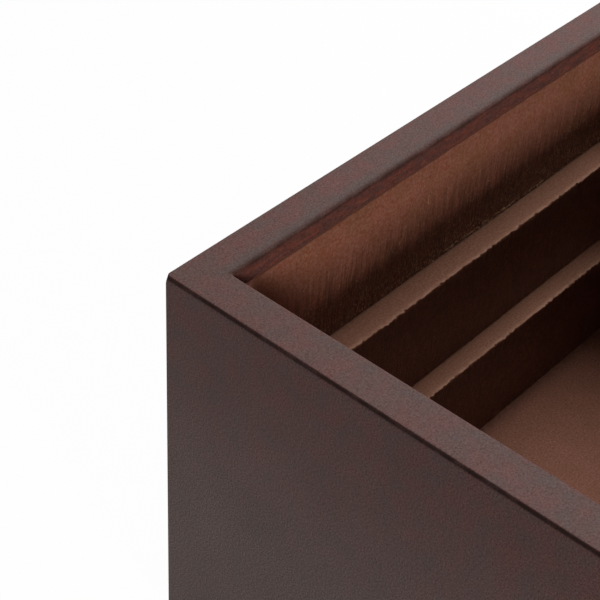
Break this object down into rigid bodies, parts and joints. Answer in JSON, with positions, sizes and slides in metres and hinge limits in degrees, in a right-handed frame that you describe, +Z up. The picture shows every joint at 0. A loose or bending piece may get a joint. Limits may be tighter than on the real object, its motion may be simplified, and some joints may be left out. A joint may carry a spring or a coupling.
{
  "type": "rectangular planter",
  "caption": "Large rectangular planter: moulded outer shell with flat rim and turned-down lip, stepped resin tub inside, drained base on rubber feet.",
  "frame": {"origin": "on the ground under the middle of the planter", "axes": "+Z up, X along the planter's length, Y across its width"},
  "size_m": [1, 0.6, 0.56],
  "materials": {
    "shell_finish": "satin dark brown stone-grained coating with fine pores",
    "tub_resin": "brushed-on brown laminating resin, half gloss, with fibre strands",
    "base_board": "dark moulded board",
    "drain_plastic": "dark grey moulded plastic",
    "black_rubber": "matt black rubber",
    "screw_steel": "stainless steel"
  },
  "bodies": {
    "planter": {"outer_shell": "shell_finish", "inner_liner": "tub_resin", "base_panel": "base_board", "floor_bearer_1": "base_board", "floor_bearer_2": "base_board", "floor_bearer_3": "base_board", "drain_tube_1": "drain_plastic", "drain_tube_2": "drain_plastic", "foot_1": "black_rubber", "foot_2": "black_rubber", "foot_3": "black_rubber", "foot_4": "black_rubber", "foot_screw_1": "screw_steel", "foot_screw_2": "screw_steel", "foot_screw_3": "screw_steel", "foot_screw_4": "screw_steel", "panel_screw_1": "screw_steel", "panel_screw_2": "screw_steel", "panel_screw_3": "screw_steel", "panel_screw_4": "screw_steel", "panel_screw_5": "screw_steel", "panel_screw_6": "screw_steel", "panel_screw_7": "screw_steel", "panel_screw_8": "screw_steel"},
    "plug_1": {"drain_plug_1": "black_rubber"},
    "plug_2": {"drain_plug_2": "black_rubber"}
  },
  "joints": [
    {"name": "plug_1_lift", "type": "slide", "parent": "planter", "child": "plug_1", "axis": [0, 0, 1], "range_m": [0, 0.05]},
    {"name": "plug_2_lift", "type": "slide", "parent": "planter", "child": "plug_2", "axis": [0, 0, 1], "range_m": [0, 0.05]}
  ]
}
